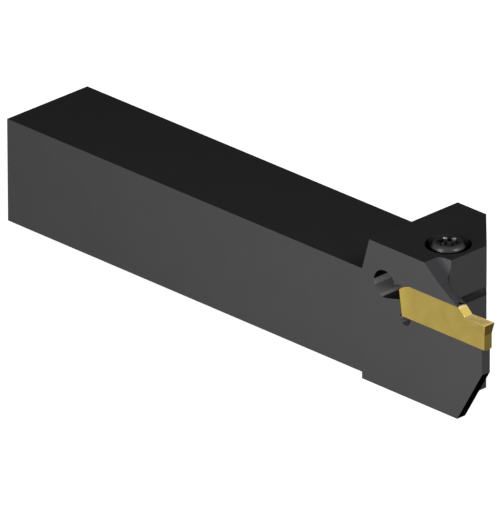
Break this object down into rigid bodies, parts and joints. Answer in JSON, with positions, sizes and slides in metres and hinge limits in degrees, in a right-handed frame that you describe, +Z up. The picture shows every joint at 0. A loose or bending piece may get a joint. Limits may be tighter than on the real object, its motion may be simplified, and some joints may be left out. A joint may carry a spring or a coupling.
{
  "type": "parting tool holder",
  "caption": "Square-shank lathe tool holder for parting off, with a screw-clamped spring jaw that grips a V-railed grooving insert.",
  "frame": {"origin": "middle of the shank's base face, halfway along the shank and across its width", "axes": "+X along the shank towards the cutting edge, +Y away from the insert's side, +Z up from the shank's base"},
  "size_m": [0.15, 0.0277, 0.0349],
  "materials": {
    "black_oxide_steel": "black-oxidised tool steel, fine milled and ground, dull",
    "screw_steel": "black-oxidised screw steel, turned, satin",
    "coated_carbide": "gold nitride coating on sintered carbide, satin"
  },
  "bodies": {
    "holder": {"holder_body": "black_oxide_steel"},
    "screw": {"clamp_screw": "screw_steel"},
    "insert": {"cutting_insert": "coated_carbide"}
  },
  "joints": [
    {"name": "clamp_screw_turn", "type": "hinge", "parent": "holder", "child": "screw", "pos_m": [0.07215, -0.00205, 0.0333], "axis": [0, 0, 1], "range_deg": [0, 450]},
    {"name": "insert_slide", "type": "slide", "parent": "holder", "child": "insert", "axis": [1, 0, 0], "range_m": [0, 0.024]}
  ]
}
